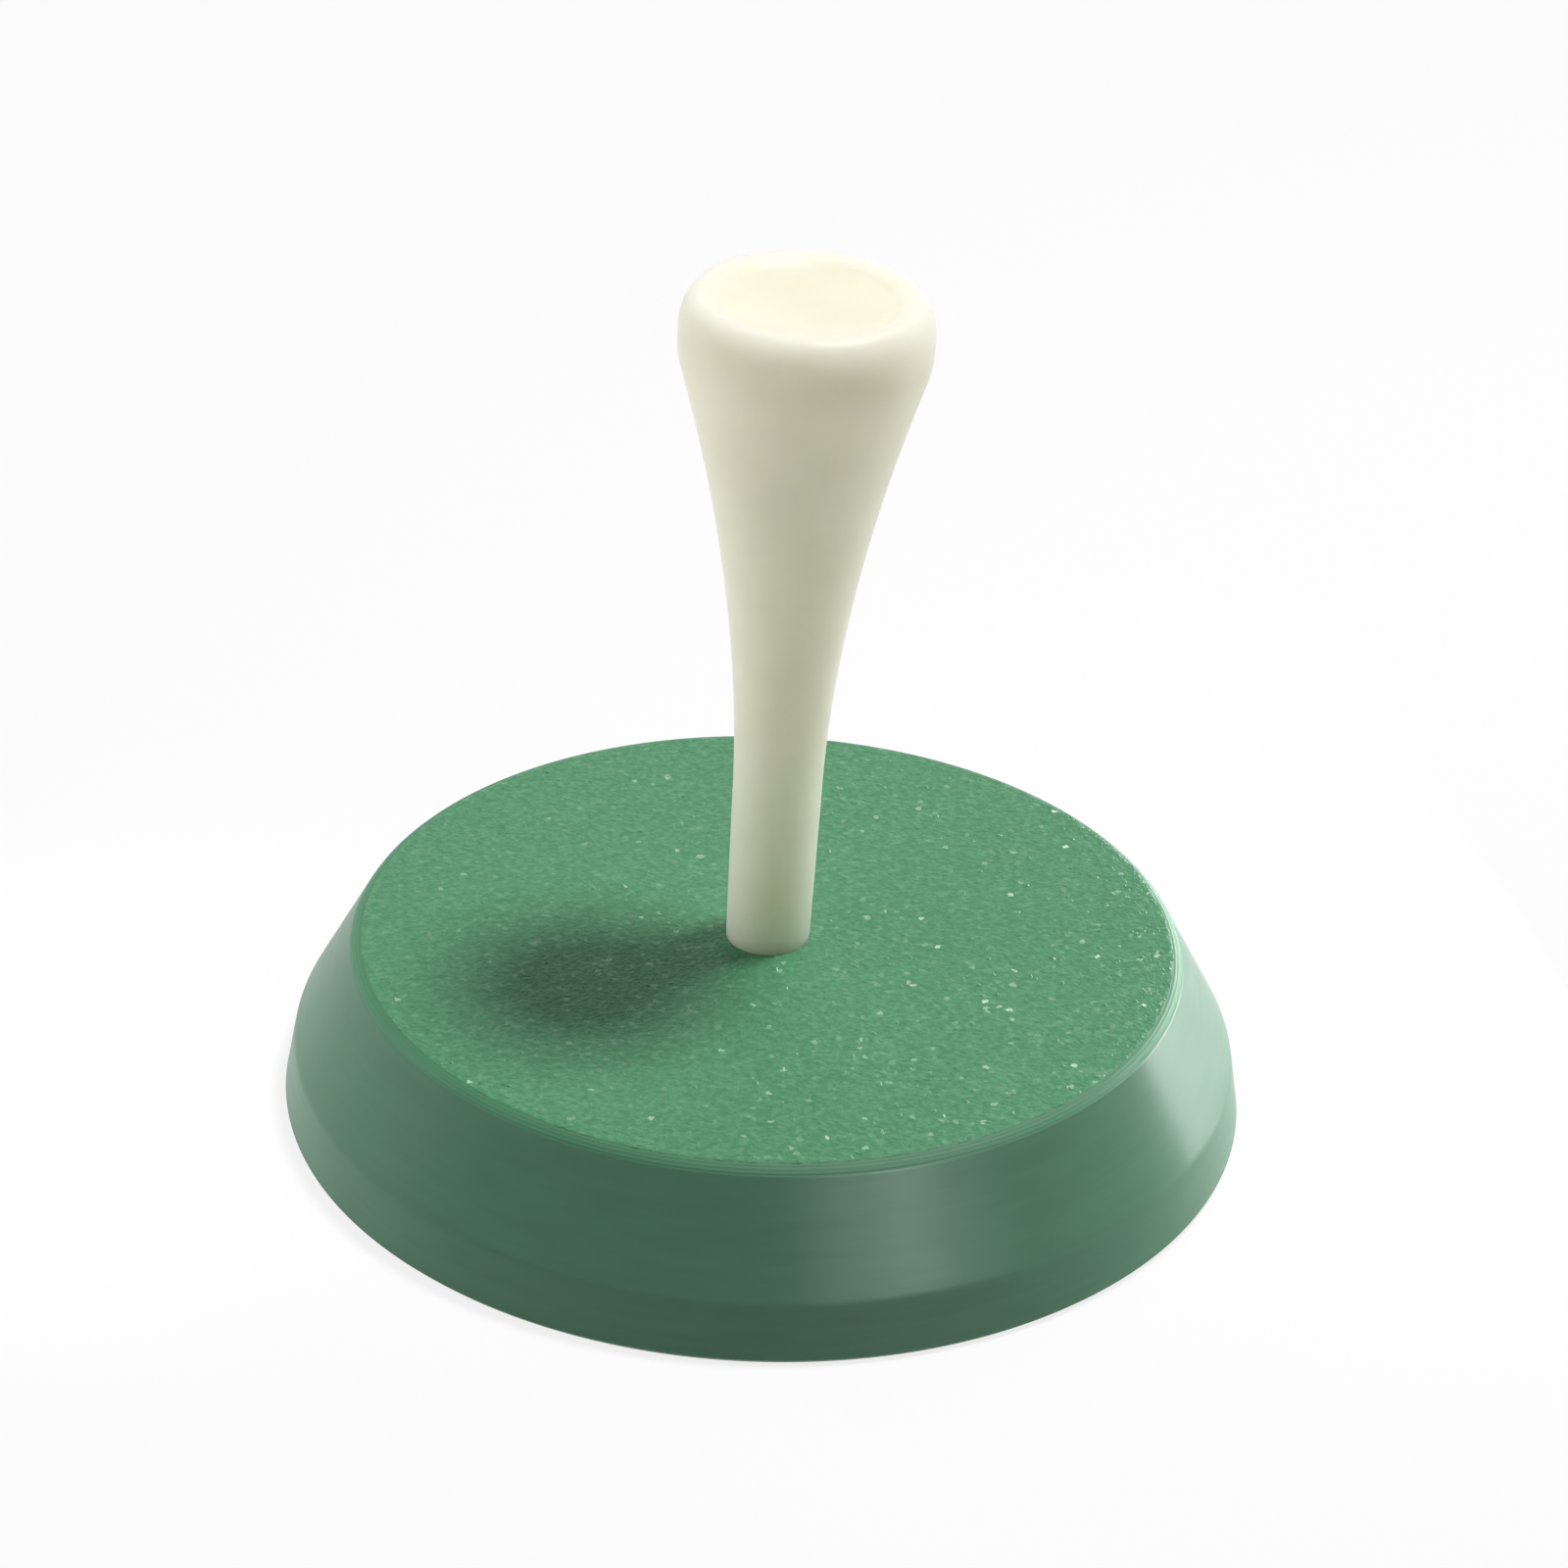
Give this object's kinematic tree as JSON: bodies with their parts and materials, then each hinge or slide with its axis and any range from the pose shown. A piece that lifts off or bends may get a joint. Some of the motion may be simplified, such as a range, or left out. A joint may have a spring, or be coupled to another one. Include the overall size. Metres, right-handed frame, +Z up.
{
  "type": "golf tee stand",
  "caption": "Golf tee with a dished cup and flared stem, pushed into a socket in a low round bevelled base; the tee lifts straight out.",
  "frame": {"origin": "centre of the base's flat underside, where the part stands", "axes": "+Z up along the common axis of the base and the tee; the part is round, so +X and +Y are any two square directions"},
  "size_m": [0.05, 0.05, 0.0451],
  "materials": {
    "base_plastic": "green printed plastic, glossy layered side and grainy plate-textured top",
    "tee_plastic": "satin ivory plastic"
  },
  "bodies": {
    "base": {"base": "base_plastic"},
    "tee": {"tee": "tee_plastic"}
  },
  "joints": [
    {"name": "tee_lift", "type": "slide", "parent": "base", "child": "tee", "axis": [0, 0, 1], "range_m": [0, 0.008]}
  ]
}
